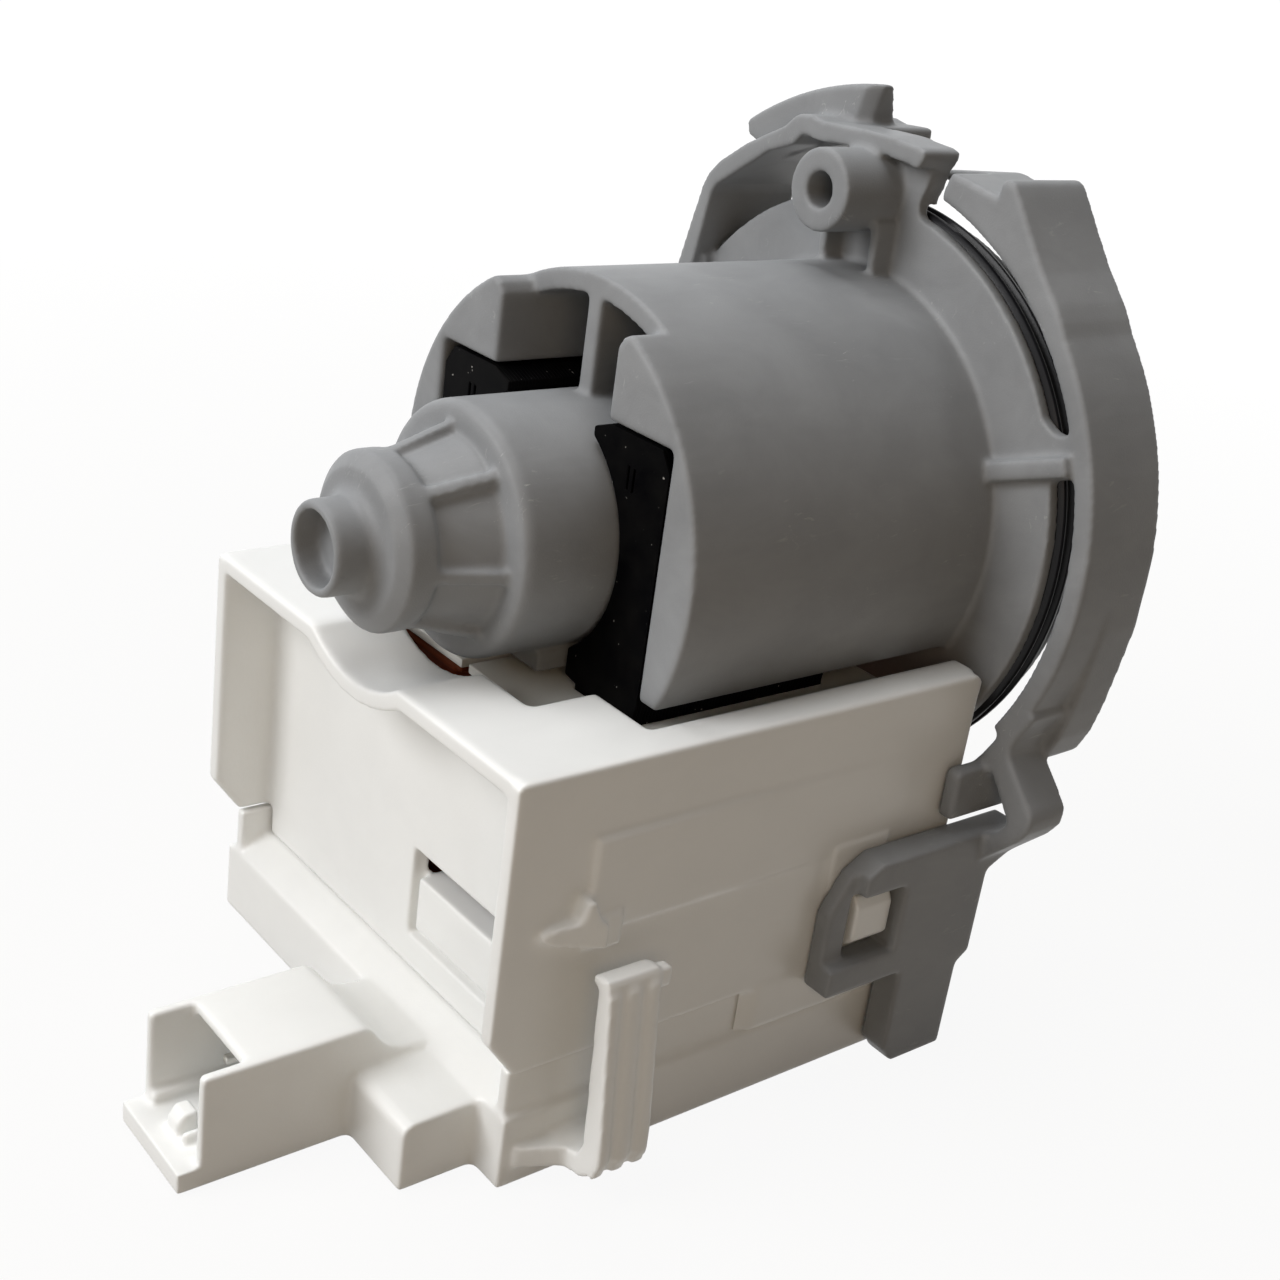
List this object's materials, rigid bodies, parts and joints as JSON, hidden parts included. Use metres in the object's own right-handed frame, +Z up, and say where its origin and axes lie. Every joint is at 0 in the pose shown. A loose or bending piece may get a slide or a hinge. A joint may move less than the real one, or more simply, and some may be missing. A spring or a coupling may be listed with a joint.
{
  "type": "dishwasher drain pump",
  "caption": "Dishwasher drain pump with a grey pump body, white coil housing, snap latch, connector socket and an open impeller behind the sump flange.",
  "frame": {"origin": "where the rotor axis meets the front face of the sump flange", "axes": "+Y along the rotor axis towards the sump, +X to the latch side, +Z up; the base plane is 66.5 mm below the axis"},
  "size_m": [0.0823, 0.1183, 0.117],
  "materials": {
    "body_grey": "satin moulded polypropylene",
    "seal_rubber": "smooth black rubber",
    "core_black": "laminated steel, blackened",
    "bobbin_white": "moulded",
    "winding_red": "enamelled wire",
    "cover_white": "satin moulded",
    "tinned_steel": "tinned",
    "ceramic": "ground ceramic",
    "plate_grey": "moulded",
    "shaft_steel": "ground",
    "magnet_black": "sintered ferrite",
    "impeller_plastic": "moulded"
  },
  "bodies": {
    "housing": {"pump_body": "body_grey", "port_seal": "seal_rubber", "stator_core": "core_black", "bobbin_left": "bobbin_white", "bobbin_right": "bobbin_white", "winding_left": "winding_red", "winding_right": "winding_red", "thermal_cutout": "bobbin_white", "coil_leads": "winding_red", "coil_cover": "cover_white", "terminal_base": "cover_white", "terminal_pins": "tinned_steel", "front_bearing": "ceramic", "front_bearing_boot": "seal_rubber", "rear_bearing": "ceramic", "rear_bearing_boot": "seal_rubber", "bearing_plate": "plate_grey", "plate_seal": "seal_rubber"},
    "rotor": {"rotor_shaft": "shaft_steel", "rotor_magnet": "magnet_black", "magnet_bush": "impeller_plastic", "thrust_washers": "seal_rubber", "clutch_dog": "impeller_plastic"},
    "impeller_set": {"impeller": "impeller_plastic", "impeller_cap": "impeller_plastic", "clutch_damper": "seal_rubber"}
  },
  "joints": [
    {"name": "rotor_spin", "type": "hinge", "parent": "housing", "child": "rotor", "pos_m": [0, -0.03, 0], "axis": [0, 1, 0], "continuous": true},
    {"name": "impeller_lost_motion", "type": "hinge", "parent": "rotor", "child": "impeller_set", "pos_m": [0, 0.01, 0], "axis": [0, -1, 0], "range_deg": [0, 215]}
  ]
}
